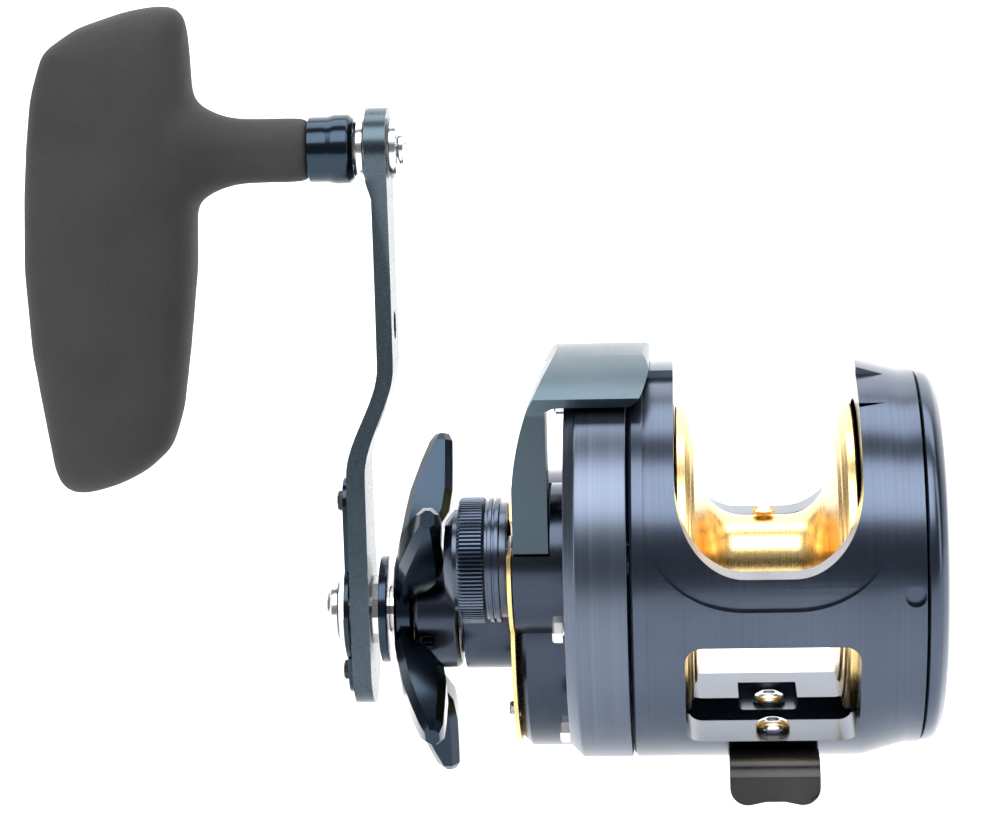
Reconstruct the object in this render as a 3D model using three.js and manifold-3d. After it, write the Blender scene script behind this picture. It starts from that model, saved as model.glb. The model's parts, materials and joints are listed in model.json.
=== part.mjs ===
// Star-drag overhead fishing reel, left-hand retrieve, built around two parallel axes along X:
// the spool axis and the drive axis. Millimetres, +Z up, origin on the reel-seat face of the foot.
import * as THREE from "three";
import { mergeVertices } from "three/addons/utils/BufferGeometryUtils.js";
import Module from "manifold-3d";

const wasm = await Module();
wasm.setup();

// ---------- driving dimensions ----------
const SEAT_DROP = 36.0;            // spool axis above the seat face
const BODY_R = 34.5;               // outside of the frame and the gear side plate
const BORE_R = 27.3;               // clear bore of the frame rings
const FRAME_X = [-23.7, 25.0];
const WELL_X = [-16.1, 15.0];      // between the two frame rings
const SPOOL_R = 26.6;
const ARBOR_R = 7.3;
const SHAFT_R = 3.0;
const PLATE_X = [-34.6, -24.0];    // gear side plate
const COVER_X = [-44.1, -34.9];    // gearbox cover
const LOBE_R = 25.0;              // round part of the gearbox, centred on the drive axis
const PALM_R = 32.4;              // outside of the frame where it meets the palm side cap
const TRIM_X = [-45.1, -44.4];

// gear train: the centre distance follows from module and tooth counts
const MODULE = 0.75;
const GEAR_TEETH = 51;
const PINION_TEETH = 9;
const CENTRES = (MODULE * (GEAR_TEETH + PINION_TEETH)) / 2;
const DRIVE_ANGLE = THREE.MathUtils.degToRad(-36);
const DRIVE_Y = CENTRES * Math.cos(DRIVE_ANGLE);
const DRIVE_Z = CENTRES * Math.sin(DRIVE_ANGLE);
const DRIVE_R = 3.9;
const BORE_FIT = 0.2;              // a bore is this much wider, in radius, than what turns in it

const THROW = 84.3;                // drive axis to knob axis
const ARM_HUB_X = [-75.0, -71.6];
const ARM_TIP_X = [-68.8, -65.9];
const ARM_LOW = 17.4;              // lower end of the crank, under the drive axis
const LEVER_X = [-44.0, -37.9];
const LEVER_PAD_R = [35.1, 37.8];
const LEVER_FOOT_Z = 3.8;          // lower end of the lever, over the spool axis
const GAP = 0.3;                   // between pieces that rest on each other

const FINE = 32;                   // facets round the body
const ROUND = 16;                  // facets round a middle-sized piece
const SMALL = 8;                   // facets round a screw or pin
const HIDDEN = 12;                 // facets round a bearing, washer or shaft

// ---------- shape helpers ----------
// A closed three.js geometry as a solid with its faces pointing out.
function solid(geometry) {
  geometry.deleteAttribute("normal");
  geometry.deleteAttribute("uv");
  const merged = mergeVertices(geometry, 1e-4);
  const points = merged.attributes.position.array;
  const index = merged.index.array;
  const corner = (i) => new THREE.Vector3().fromArray(points, index[i] * 3);
  const kept = [];
  let volume = 0;
  for (let i = 0; i < index.length; i += 3) {
    if (new Set([index[i], index[i + 1], index[i + 2]]).size < 3) continue;
    kept.push([index[i], index[i + 1], index[i + 2]]);
    volume += corner(i).dot(corner(i + 1).cross(corner(i + 2)));
  }
  const facing = volume < 0 ? kept.map(([a, b, c]) => [a, c, b]) : kept;
  const triVerts = new Uint32Array(facing.flat());
  return new wasm.Manifold(new wasm.Mesh({ numProp: 3, vertProperties: new Float32Array(points), triVerts }));
}

// A profile of [x, radius] points turned about the X axis.
function turned(profile, facets = ROUND) {
  const points = profile.map(([x, r]) => new THREE.Vector2(r, x));
  if (profile[0][1] > 0) points.push(points[0].clone());
  return solid(new THREE.LatheGeometry(points, facets).rotateZ(-Math.PI / 2));
}

const rod = (x0, x1, r, facets = ROUND) => turned([[x0, 0], [x0, r], [x1, r], [x1, 0]], facets);
const ring = (x0, x1, rIn, rOut, facets = ROUND) =>
  turned([[x0, rIn], [x0, rOut], [x1, rOut], [x1, rIn]], facets);

function box(x0, x1, y0, y1, z0, z1) {
  const block = new THREE.BoxGeometry(x1 - x0, y1 - y0, z1 - z0);
  return solid(block.translate((x0 + x1) / 2, (y0 + y1) / 2, (z0 + z1) / 2));
}

const shapeOf = (points) => new THREE.Shape(points.map(([a, b]) => new THREE.Vector2(a, b)));
const flat = (shape, depth) =>
  new THREE.ExtrudeGeometry(shape, { depth, bevelEnabled: false, curveSegments: 4 });

// An outline in Y and Z, pushed along X.
function alongX(shape, x0, x1) {
  const turn = new THREE.Matrix4().set(0, 0, 1, x0, 1, 0, 0, 0, 0, 1, 0, 0, 0, 0, 0, 1);
  return solid(flat(shape, x1 - x0).applyMatrix4(turn));
}

// An outline in X and Z, pushed along Y.
const alongY = (shape, y0, y1) => solid(flat(shape, y1 - y0).rotateX(Math.PI / 2).translate(0, y1, 0));

// A rectangle with rounded corners, as a Shape.
function roundedBox(a0, a1, b0, b1, r) {
  const s = new THREE.Shape();
  s.absarc(a1 - r, b1 - r, r, 0, Math.PI / 2);
  s.absarc(a0 + r, b1 - r, r, Math.PI / 2, Math.PI);
  s.absarc(a0 + r, b0 + r, r, Math.PI, 1.5 * Math.PI);
  s.absarc(a1 - r, b0 + r, r, 1.5 * Math.PI, 2 * Math.PI);
  return s;
}

// The part of a circular band between two angles, measured from +Z towards +Y.
function bandOf(rIn, rOut, from, to) {
  const s = new THREE.Shape();
  const a = Math.PI / 2 - THREE.MathUtils.degToRad(from);
  const b = Math.PI / 2 - THREE.MathUtils.degToRad(to);
  s.absarc(0, 0, rOut, a, b, true);
  s.absarc(0, 0, rIn, b, a, false);
  return s;
}

const regular = (sides, r, turn = 0) =>
  shapeOf(Array.from({ length: sides }, (_, i) => {
    const a = turn + (i * 2 * Math.PI) / sides;
    return [r * Math.cos(a), r * Math.sin(a)];
  }));

// Rings of points, all with the same count, skinned into one closed body.
function skinned(rings) {
  const count = rings[0].length;
  const points = rings.flat(2);
  const middle = (row) => row.reduce((sum, p) => sum.map((v, k) => v + p[k] / count), [0, 0, 0]);
  const first = count * rings.length;
  points.push(...middle(rings[0]), ...middle(rings.at(-1)));
  const index = [];
  for (let i = 0; i < count; i++) {
    const j = (i + 1) % count;
    for (let k = 0; k + 1 < rings.length; k++) {
      const low = k * count;
      const high = low + count;
      index.push(low + i, low + j, high + j, low + i, high + j, high + i);
    }
    const top = first - count;
    index.push(first, j, i, first + 1, top + i, top + j);
  }
  const geometry = new THREE.BufferGeometry();
  geometry.setAttribute("position", new THREE.Float32BufferAttribute(points, 3));
  geometry.setIndex(index);
  return solid(geometry);
}

const oddment = (list) => list.reduce((all, one) => all.add(one));
const polar = (r, degrees) => {
  const a = THREE.MathUtils.degToRad(degrees);
  return [r * Math.cos(a), r * Math.sin(a)];
};

// ---------- materials ----------
const finish = (color, roughness, metalness) =>
  new THREE.MeshStandardMaterial({ color, roughness, metalness });
const NAVY = finish(0x4a5872, 0.4, 0.9);
const BRUSHED_NAVY = finish(0x5d6c88, 0.35, 0.95);
const DARK_NAVY = finish(0x1d2842, 0.3, 0.9);
const TEAL = finish(0x5c717f, 0.4, 0.8);
const GOLD = finish(0xd3a550, 0.25, 1.0);
const STEEL = finish(0xc4c7cb, 0.25, 1.0);
const BRASS = finish(0xb9953f, 0.35, 1.0);
const BLACK = finish(0x24221f, 0.45, 0.5);
const FOAM = finish(0x3b3b3c, 0.9, 0.0);
const CARBON = finish(0x202124, 0.7, 0.1);

// ---------- groups ----------
const reel = new THREE.Group();
const spoolLine = new THREE.Group();
spoolLine.position.z = SEAT_DROP;
const driveLine = new THREE.Group();
driveLine.position.set(0, DRIVE_Y, SEAT_DROP + DRIVE_Z);
const knobLine = new THREE.Group();
knobLine.position.z = THROW;
driveLine.add(knobLine);
reel.add(spoolLine, driveLine);

function place(group, name, body, material, position = [0, 0, 0]) {
  const { vertProperties, triVerts } = body.getMesh();
  const geometry = new THREE.BufferGeometry();
  geometry.setAttribute("position", new THREE.BufferAttribute(vertProperties, 3));
  geometry.setIndex(new THREE.BufferAttribute(triVerts, 1));
  geometry.computeVertexNormals();
  const mesh = new THREE.Mesh(geometry, material);
  mesh.name = name;
  mesh.position.set(...position);
  group.add(mesh);
}

// ---------- frame, foot and side plates ----------
const WELL_FLOOR = [3.9, 1.5];     // floor of the thumb opening, near wall and far wall
const WINDOW_X = [-14.8, 14.2];    // window under the spool
const BAR_TOP = -27;               // top of the two bars over the foot
const NEAR_BAR = [-20, -9];
const FAR_BAR = [5, 20];

// The opening over the spool: straight sides, a level floor and elliptical corners.
function wellOutline(grow, floor) {
  const [left, right] = [WELL_X[0] - grow, WELL_X[1] + grow];
  const [cornerX, cornerZ] = [11.5 + grow, 15];
  const s = new THREE.Shape();
  s.moveTo(right, 45);
  s.lineTo(left, 45);
  s.absellipse(left + cornerX, floor - grow + cornerZ, cornerX, cornerZ, Math.PI, 1.5 * Math.PI);
  s.absellipse(right - cornerX, floor - grow + cornerZ, cornerX, cornerZ, 1.5 * Math.PI, 2 * Math.PI);
  return s;
}

function frameBody() {
  const [left, right] = FRAME_X;
  const shell = turned([
    [left, 6.8], [left, BODY_R - 0.6], [left + 0.6, BODY_R], [15, BODY_R], [22.5, PALM_R], [right, PALM_R],
    [right, BORE_R], [left + 2.7, BORE_R], [left + 2.7, 6.8],
  ], FINE);
  const milledStep = 1.3;
  const rim = 5.2;
  const skin = ring(left - 1, 23, BODY_R - milledStep, BODY_R + 2, FINE);
  const milled = skin.intersect(alongY(wellOutline(rim, WELL_FLOOR[0]), -40, -5));
  const windowBox = roundedBox(...WINDOW_X, BAR_TOP, -7.5, 2.8);
  const pits = [-2, 5.6].map((x) => box(x - 1.6, x + 1.6, NEAR_BAR[1] + 1, FAR_BAR[0] - 1, -40, -20));
  const recess = box(...WINDOW_X, NEAR_BAR[1], FAR_BAR[0], -31, BAR_TOP + 1);
  const notch = box(-5.5, 4.9, FAR_BAR[0] - 1, 15, -29.2, BAR_TOP + 1);
  const dimple = rod(-1.5, 1.5, 1.75, SMALL).rotate([0, 0, 90]).translate([23.2, -PALM_R + 0.2, 0.5]);
  const cuts = oddment([
    milled,
    alongY(wellOutline(0, WELL_FLOOR[0]), -40, 0),
    alongY(wellOutline(0, WELL_FLOOR[1]), -1, 40),
    alongY(windowBox, -40, 40),
    recess, notch, dimple, ...pits,
    ...footScrewHoles(),
  ]);
  return shell.subtract(cuts);
}

const FOOT_SCREWS = [[0, -14.5, BAR_TOP], [0, 10, -29.2]];
const footScrewHoles = () =>
  FOOT_SCREWS.map(([x, y]) => rod(-8, 20, 1.9, SMALL).rotate([0, 90, 0]).translate([x, y, -25]));

// A screw along -Z from its seat at z = 0: domed head above, shank below.
function domedScrew(headR, headH, shankR, length) {
  const head = [[headH, 0], [headH, headR * 0.45], [headH * 0.6, headR * 0.85], [GAP, headR]];
  return turned([...head, [GAP, shankR], [-length, shankR], [-length, 0]], SMALL);
}

function footBody() {
  const half = 27;
  const lip = SEAT_DROP + 0.6;
  const side = [[-7.6, -29.3], [-7.6, -lip + 2.7], [-6.2, -lip + 0.5], [-5.4, -lip], [-4.6, -lip],
    [-1.6, -SEAT_DROP]];
  const outline = shapeOf([...side, ...side.map(([x, z]) => [-x, z]).reverse()]);
  const saddle = alongY(outline, -half, half);
  const tapered = saddle.intersect(alongX(shapeOf([
    [-half, -lip], [-half, -31.6], [-half + 3.4, -29.3], [half - 3.4, -29.3], [half, -31.6], [half, -lip],
  ]), -9, 9));
  return tapered.subtract(oddment([rod(-20, 20, BODY_R + GAP, FINE), ...FOOT_SCREWS.map(([x, y]) =>
    rod(0, 9, 1.9, SMALL).rotate([0, 90, 0]).translate([x, y, -25]))]));
}

// The lever swings inside this wedge, which every fixed piece beside it leaves free.
function leverSweep(x0, x1) {
  const low = LEVER_FOOT_Z - 0.3;
  const [top, lean] = [38.9, 1.883];
  return alongX(shapeOf([[-40, low], [16.3 - (top - low) / lean, low], [16.3, top], [-40, top]]), x0, x1);
}

const shifted = (body, x = 0) => body.translate([x, DRIVE_Y, DRIVE_Z]);
const SIDE_SCREWS = [190, 250, 100].map((angle) => polar(29.7, angle));
const COVER_SCREWS = [30, -60, -130].map((angle) => polar(20.6, angle));
const LEVER_RING_X = [-43.9, -42.3];
const LEVER_RING_R = [7.8, 11.0];

function sidePlateBody() {
  const [left, right] = PLATE_X;
  const shell = turned([
    [left, 3.9], [left, BODY_R - 1.8], [left + 1.8, BODY_R], [right, BODY_R],
    [right, 30.2], [-33.0, 30.2], [-33.0, 3.9],
  ], FINE);
  const boss = shifted(rod(left, -30.6, 8.6));
  const bearingSeat = shifted(rod(left - 1, -30, 7.2));
  const postHoles = YOKE_POSTS.map(([y, z]) => rod(-34.3, -31, 1.2, SMALL).translate([0, y, z]));
  const screwHoles = SIDE_SCREWS.map(([y, z]) => rod(-36, -30.5, 1.2, SMALL).translate([0, y, z]));
  const pads = SIDE_SCREWS.map(([y, z]) => rod(left + 0.2, -29.5, 2.6, SMALL).translate([0, y, z]));
  const body = oddment([shell, boss, ...pads]).intersect(rod(-40, -20, BODY_R, FINE));
  return body.subtract(oddment([bearingSeat, ...postHoles, ...screwHoles]));
}

function coverBody() {
  const [left, right] = COVER_X;
  const lobe = shifted(turned([
    [left, 0], [left, LOBE_R - 1.4], [left + 1.4, LOBE_R], [right, LOBE_R], [right, 0],
  ], FINE));
  const boss = rod(left, right, 13.4);
  const neck = rod(-50.8, left + 1, 6.8);
  const outside = oddment([lobe, boss, neck]);
  const gearRoom = shifted(rod(-41.2, right + 1, 21.2, FINE));
  const pinionRoom = rod(-43.6, right + 1, 5.6);
  const ringGroove = ring(left - 1, -41.9, 7.6, 11.3);
  const holes = COVER_SCREWS.map(([y, z]) => shifted(rod(left - 1, -41.6, 1.2, SMALL).translate([0, y, z])));
  const sweep = leverSweep(left - 1, -37.6).subtract(rod(-53, -30, 7.6));
  return outside.subtract(oddment([
    sweep, gearRoom, pinionRoom, ringGroove, rod(-53, -40, 4.6), shifted(rod(left - 1, -40, 5.7)), ...holes,
  ]));
}

function trimBody() {
  const [left, right] = TRIM_X;
  const outline = oddment([shifted(rod(left, right, LOBE_R - 0.6, FINE)), rod(left, right, 13.0)]);
  const through = (r, facets) => rod(left - 1, right + 1, r, facets);
  const holes = COVER_SCREWS.map(([y, z]) => shifted(through(1.5, SMALL).translate([0, y, z])));
  return outline.subtract(oddment([
    leverSweep(left - 1, right + 1), through(7.1), shifted(through(5.7)), ...holes,
  ]));
}

function palmCapBody() {
  const [rim, crown] = [FRAME_X[1] + GAP, 31.3];
  const cap = turned([
    [rim, PALM_R - 0.1], [27.4, PALM_R - 0.6], [28.6, 29.6], [29.8, 21], [31.0, 12], [crown, 0],
    [20.2, 0], [20.2, 8.4],
    [28.6, 8.4], [28.4, 21], [27.4, 25], [rim, 26.5],
  ], FINE);
  return cap.subtract(rod(20, 24.4, 6.7));
}

// A socket screw along +X: its head starts at x = 0 and the shank goes in by the given length.
function capScrew(headR, headH, shankR, length) {
  const outside = turned([
    [-headH, 0], [-headH, headR - 0.3], [-headH + 0.3, headR], [-GAP, headR],
    [-GAP, shankR], [length, shankR], [length, 0],
  ], SMALL);
  return outside.subtract(alongX(regular(6, headR * 0.5), -headH - 1, -headH * 0.45));
}

function buildFrame() {
  place(spoolLine, "frame", frameBody(), NAVY);
  place(spoolLine, "reel_foot", footBody(), BLACK);
  FOOT_SCREWS.forEach(([x, y, z], i) => {
    const screw = domedScrew(2.9, 1.8, 1.6, 32.6 + z).rotate([0, -90, 0]);
    place(spoolLine, `foot_screw_${i + 1}`, screw, STEEL, [x, y, z]);
  });
  place(spoolLine, "gear_side_plate", sidePlateBody(), BRUSHED_NAVY);
  SIDE_SCREWS.forEach(([y, z], i) => {
    place(spoolLine, `side_plate_screw_${i + 1}`, capScrew(2.4, 2.0, 1.0, 3.6), STEEL, [PLATE_X[0], y, z]);
  });
  place(spoolLine, "gearbox_cover", coverBody(), NAVY);
  place(spoolLine, "trim_plate", trimBody(), GOLD);
  COVER_SCREWS.forEach(([y, z], i) => {
    place(driveLine, `cover_screw_${i + 1}`, capScrew(1.9, 1.2, 1.0, 3.2), STEEL, [TRIM_X[0], y, z]);
  });
  const collar = turned([
    [-54.5, 5.8], [-54.5, 10.6], [-54.1, 11.0], [TRIM_X[0] - GAP, 11.0], [TRIM_X[0] - GAP, 9.8], [-53.7, 9.8],
    [-53.7, 5.8],
  ]);
  place(driveLine, "drive_collar", collar, NAVY);
  place(spoolLine, "palm_side_cap", palmCapBody(), NAVY);
}

// ---------- spool line ----------
const CROSS_PIN_X = -28.1;
const LINE_PIN_X = -0.8;

function spoolBody() {
  const [left, right] = [-15.9, 14.5];
  const fillet = 7;
  const outside = [];
  for (let i = 0; i <= 3; i++) {
    const a = (i * Math.PI) / 6;
    outside.push([left + 4.4 + fillet * (1 - Math.cos(a)), ARBOR_R + fillet * (1 - Math.sin(a))]);
  }
  const mirrored = outside.map(([x, r]) => [left + right - x, r]).reverse();
  return turned([
    [left, SHAFT_R + 0.1], [left, SPOOL_R], [left + 2.3, SPOOL_R], [left + 2.9, 24.0],
    ...outside, ...mirrored,
    [right - 2.9, 24.0], [right - 2.3, SPOOL_R], [right, SPOOL_R], [right, SHAFT_R + 0.1],
  ], FINE).subtract(rod(0, 9, 1.2, SMALL).rotate([0, -90, 0]).translate([LINE_PIN_X, 0, 1]));
}

// A mushroom-headed pin that the line is tied to.
function linePinBody() {
  const pin = turned([
    [-2.8, 0], [-2.8, 1.0], [0.35, 1.0], [0.35, 1.8], [1.0, 2.0], [1.6, 1.2], [1.8, 0],
  ], SMALL);
  return pin.rotate([0, -90, 0]);
}

function spoolShaftBody() {
  const shaft = turned([
    [-50.8, 0], [-50.8, 1.5], [-50.4, 1.9], [-27.0, 1.9], [-26.4, SHAFT_R], [24.0, SHAFT_R], [24.3, 2.6],
    [24.3, 0],
  ], HIDDEN);
  const pin = rod(-3.6, 3.6, 0.6, 12).rotate([0, 90, 0]).translate([CROSS_PIN_X, 0, 0]);
  return shaft.add(pin);
}

// A gear outline from one flank: radius from the pitch circle and half the tooth's thickness there.
function toothOutline(teeth, flank, turn = 0) {
  const pitchR = (MODULE * teeth) / 2;
  const points = [];
  for (let i = 0; i < teeth; i++) {
    const middle = turn + (i * 2 * Math.PI) / teeth;
    for (const [depth, half] of flank) points.push([pitchR + depth, middle - half / pitchR]);
    for (const [depth, half] of flank.toReversed()) points.push([pitchR + depth, middle + half / pitchR]);
  }
  return shapeOf(points.map(([r, a]) => [r * Math.cos(a), r * Math.sin(a)]));
}

const GEAR_X = [-40.6, -36.3];
const PINION_FLANK = [[-0.85, 0.5], [0, 0.42], [0.55, 0.16]];
const GEAR_FLANK = [[-0.85, 0.6], [0.5, 0.26]];
const GEAR_TURN = DRIVE_ANGLE + Math.PI + Math.PI / GEAR_TEETH;   // a gap of the gear faces the pinion tooth

function pinionBody() {
  const teeth = alongX(toothOutline(PINION_TEETH, PINION_FLANK, DRIVE_ANGLE), -41.5, -34.65);
  const shank = turned([
    [-34.75, 2.2], [-34.75, 3.3], [-31.0, 3.3], [-31.0, 2.8],
    [-29.4, 2.8], [-29.4, 4.2], [-27.4, 4.2], [-27.4, 2.2],
  ], HIDDEN);
  const slot = box(-29.0, -27, -0.9, 0.9, -5, 5);
  return teeth.add(shank).subtract(oddment([rod(-42, -27, 2.1, HIDDEN), slot]));
}

const YOKE_POSTS = [[11, 0], [-11, 0]];
const YOKE_X = [-30.9, -29.5];

function yokeBody() {
  const [left, right] = YOKE_X;
  const bar = alongX(roundedBox(-14, 14, -4, 4, 3.6), left, right);
  const fork = oddment([
    rod(left - 1, right + 1, 2.95, HIDDEN), box(left - 1, right + 1, -3, 3, -6, 0),
  ]);
  const holes = YOKE_POSTS.map(([y, z]) => rod(left - 1, right + 1, 1.2, SMALL).translate([0, y, z]));
  return bar.subtract(oddment([fork, ...holes]));
}

// A compression spring along X: round wire on a helix.
function springBody(x0, x1, coilR, wireR, turns) {
  const helix = new THREE.Curve();
  helix.getPoint = (t) => {
    const a = t * turns * 2 * Math.PI;
    const x = x0 + wireR + t * (x1 - x0 - 2 * wireR);
    return new THREE.Vector3(x, coilR * Math.cos(a), coilR * Math.sin(a));
  };
  const wire = regular(5, wireR);
  const path = { steps: turns * 9, bevelEnabled: false, extrudePath: helix };
  return solid(new THREE.ExtrudeGeometry(wire, path));
}

// The lever: an arm beside the gearbox that bends over into a thumb pad above the frame.
function leverBody() {
  const [left, right] = LEVER_X;
  const [padIn, padOut] = LEVER_PAD_R;
  const padRight = -20.1;
  const padLow = 30.4;
  const arm = box(left, right, -12, -4.2, LEVER_FOOT_Z, padOut - 2);
  const pad = alongX(bandOf(padIn, padOut, -32, 18), left, padRight);
  const web = alongX(bandOf(30.5, padOut - 1, -24, 4), left, right);
  const s = new THREE.Shape();
  s.moveTo(left, LEVER_FOOT_Z);
  s.lineTo(right, LEVER_FOOT_Z);
  s.lineTo(right, padLow - 2.8);
  s.quadraticCurveTo(right, padLow, right + 2.8, padLow);
  s.lineTo(padRight - 3.4, padLow);
  s.quadraticCurveTo(padRight - 1.6, padLow + 0.4, padRight, padOut - 2.2);
  s.quadraticCurveTo(padRight - 0.4, padOut, padRight - 3.4, padOut);
  s.lineTo(left + 8.1, padOut);
  s.quadraticCurveTo(left + 1.35, 29.6, left, 15);
  const trimmed = oddment([arm, pad, web]).intersect(alongY(s, -30, 30));
  const root = rod(left - 1, right + 1, 7.8);
  const seat = rod(left - 1, LEVER_RING_X[1] + GAP, LEVER_RING_R[1] + 0.15);
  return trimmed.subtract(root.add(seat));
}

function tensionCapBody() {
  const [nose, mouth] = [-56.4, TRIM_X[0] - GAP];
  const outside = turned([
    [nose, 0], [nose, 6.9], [nose + 1.6, 9.0], [nose + 2.5, 9.0], [nose + 2.9, 11.1], [-46.6, 11.1],
    [-46.6, 10.2], [mouth, 10.2], [mouth, 0],
  ], FINE);
  return outside.subtract(rod(-52.4, mouth + 1, 6.8 + BORE_FIT));
}

function buildSpoolLine() {
  place(spoolLine, "spool", spoolBody(), GOLD);
  place(spoolLine, "line_pin", linePinBody(), GOLD, [LINE_PIN_X, 0, ARBOR_R]);
  place(spoolLine, "spool_shaft", spoolShaftBody(), STEEL);
  place(spoolLine, "left_spool_bearing", ring(-23.5, -21.1, SHAFT_R + 0.15, 6.5, HIDDEN), STEEL);
  place(spoolLine, "right_spool_bearing", ring(20.6, 23.6, SHAFT_R + 0.15, 6.4, HIDDEN), STEEL);
  place(spoolLine, "shaft_end_bearing", ring(-47.6, -44.8, 2.05, 4.3, HIDDEN), STEEL);
  place(spoolLine, "pinion_gear", pinionBody(), BRASS);
  place(spoolLine, "yoke", yokeBody(), BLACK);
  YOKE_POSTS.forEach(([y, z], i) => {
    place(spoolLine, `yoke_post_${i + 1}`, rod(-34.2, -25.5, 0.95, SMALL), STEEL, [0, y, z]);
    place(spoolLine, `yoke_spring_${i + 1}`, springBody(-32.9, -31.0, 1.75, 0.15, 2), STEEL, [0, y, z]);
  });
  place(spoolLine, "clutch_lever", leverBody(), TEAL);
  place(spoolLine, "clutch_ring", ring(...LEVER_RING_X, ...LEVER_RING_R), STEEL);
  place(spoolLine, "tension_cap", tensionCapBody(), NAVY);
  place(spoolLine, "tension_disc", rod(-52.2, -51.1, 6.2, HIDDEN), CARBON);
}

// ---------- drive line ----------
const DRIVE_BORE = DRIVE_R + BORE_FIT;
const washer = (x0, x1, rOut) => ring(x0, x1, DRIVE_BORE, rOut, HIDDEN);

function driveGearBody() {
  const teeth = alongX(toothOutline(GEAR_TEETH, GEAR_FLANK, GEAR_TURN), ...GEAR_X);
  return teeth.subtract(oddment([rod(-42, -37.4, 15.4), rod(-42, -36, DRIVE_BORE)]));
}

function ratchetBody() {
  const teeth = 10;
  const points = [];
  for (let i = 0; i < teeth; i++) {
    const a = (i * 2 * Math.PI) / teeth;
    points.push([10.4 * Math.cos(a), 10.4 * Math.sin(a)]);
    points.push([12.4 * Math.cos(a + 0.42), 12.4 * Math.sin(a + 0.42)]);
  }
  return alongX(shapeOf(points), -35.9, -35.1).subtract(rod(-37, -34, DRIVE_BORE));
}

const STAR_ARMS = 5;
const STAR_R = 32.5;
const STAR_FIRST = 65.5;           // direction of the first arm in degrees, from +Y towards +Z

// Distance from the axis, width, and the two faces along X of one star arm, hub to tip.
const STAR_STATIONS = [
  [6.0, 8.4, -67.0, -63.7], [11.4, 8.6, -66.9, -63.7], [13.4, 9.0, -66.5, -60.2],
  [17.5, 9.4, -65.7, -57.6], [21.5, 9.2, -64.8, -57.0], [27.0, 8.0, -62.9, -57.0],
  [31.0, 6.4, -61.3, -57.1], [STAR_R, 3.6, -60.3, -57.8],
];

// One arm as a skin of chamfered cross-sections, leaning towards the body.
function starArm() {
  const rings = STAR_STATIONS.map(([r, width, x0, x1]) => {
    const half = width / 2;
    const cut = Math.min(1.3, (x1 - x0) * 0.35);
    const side = half * 0.45;
    return [[x0, r, half - side], [x0, r, side - half], [x0 + cut, r, -half], [x1 - cut, r, -half],
      [x1, r, side - half], [x1, r, half - side], [x1 - cut, r, half], [x0 + cut, r, half]];
  });
  return skinned(rings);
}

function starBody() {
  const hub = turned([[-67.1, 0], [-67.1, 8.4], [-66.6, 9.2], [-64.2, 9.2], [-63.6, 8.6], [-63.6, 0]]);
  const arms = Array.from({ length: STAR_ARMS }, (_, i) =>
    starArm().rotate([STAR_FIRST + (i * 360) / STAR_ARMS, 0, 0]));
  return oddment([hub, ...arms]).subtract(rod(-68, -60, DRIVE_BORE));
}

function barrelBody() {
  const outside = turned([
    [-63.3, DRIVE_BORE], [-63.3, 10.3], [-62.8, 10.8], [-56.0, 10.8], [-55.3, 10.2],
    [-55.3, 8.2], [-57.6, 8.2], [-57.6, DRIVE_BORE],
  ]);
  const notches = Array.from({ length: 6 }, (_, i) =>
    box(-62.2, -59.9, 9.2, 12, -1.0, 1.0).rotate([i * 60 + 20, 0, 0]));
  return outside.subtract(oddment(notches));
}

function buildDriveLine() {
  const shaft = turned([
    [-77.3, 0], [-77.3, 3.5], [-76.9, DRIVE_R], [-31.2, DRIVE_R], [-30.9, 3.6], [-30.9, 0],
  ]);
  place(driveLine, "drive_shaft", shaft, STEEL);
  place(driveLine, "drive_gear", driveGearBody(), BRASS);
  place(driveLine, "drag_washer_1", washer(-38.0, -37.5, 14.9), CARBON);
  place(driveLine, "drag_plate", washer(-38.8, -38.1, 14.6), STEEL);
  place(driveLine, "drag_washer_2", washer(-39.5, -38.9, 14.9), CARBON);
  place(driveLine, "pressure_plate", washer(-40.5, -39.6, 14.9), STEEL);
  place(driveLine, "ratchet", ratchetBody(), STEEL);
  place(driveLine, "drive_shaft_bearing", ring(-34.4, -31.4, DRIVE_BORE, 6.9, HIDDEN), STEEL);
  place(driveLine, "anti_reverse_sleeve", ring(-53.5, -41.5, DRIVE_BORE, 5.3, HIDDEN), STEEL);
  place(driveLine, "anti_reverse_bearing", ring(-53.4, -46.0, 5.6, 9.5, HIDDEN), STEEL);
  place(driveLine, "star_wheel", starBody(), DARK_NAVY);
  place(driveLine, "star_barrel", barrelBody(), NAVY);
  const cone = turned([[-57.2, 4.3], [-56.4, 7.6], [-55.9, 7.6], [-56.7, 4.3]], HIDDEN);
  place(driveLine, "drag_spring_washer", cone, STEEL);
  place(driveLine, "click_plate", washer(-69.9, -68.4, 9.8), DARK_NAVY);
  place(driveLine, "arm_spacer", washer(-71.3, -70.2, 6.4), STEEL);
}

// ---------- handle ----------
// The edge view of the arm: a flat hub part, an S bend towards the body, a flat tip part.
function armEdge() {
  const [h0, h1] = ARM_HUB_X;
  const [t0, t1] = ARM_TIP_X;
  const [bendLow, bendHigh] = [28, 44];
  const s = new THREE.Shape();
  s.moveTo(h0, -ARM_LOW);
  s.lineTo(h1 - 0.6, -ARM_LOW);
  s.lineTo(h1, 0.6 - ARM_LOW);
  s.lineTo(h1, bendLow);
  s.bezierCurveTo(h1, bendLow + 6, t1, bendHigh - 6, t1, bendHigh);
  s.lineTo(t1, THROW + 7.4);
  s.lineTo(t0 - 0.9, THROW + 7.4);
  s.lineTo(t0 - 0.9, THROW - 6);
  s.lineTo(t0, THROW - 8);
  s.lineTo(t0, bendHigh);
  s.bezierCurveTo(t0, bendHigh - 6, h0, bendLow + 6, h0, bendLow);
  return s;
}

const RETAINER_SCREWS = [20.3, -11.4];

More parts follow.
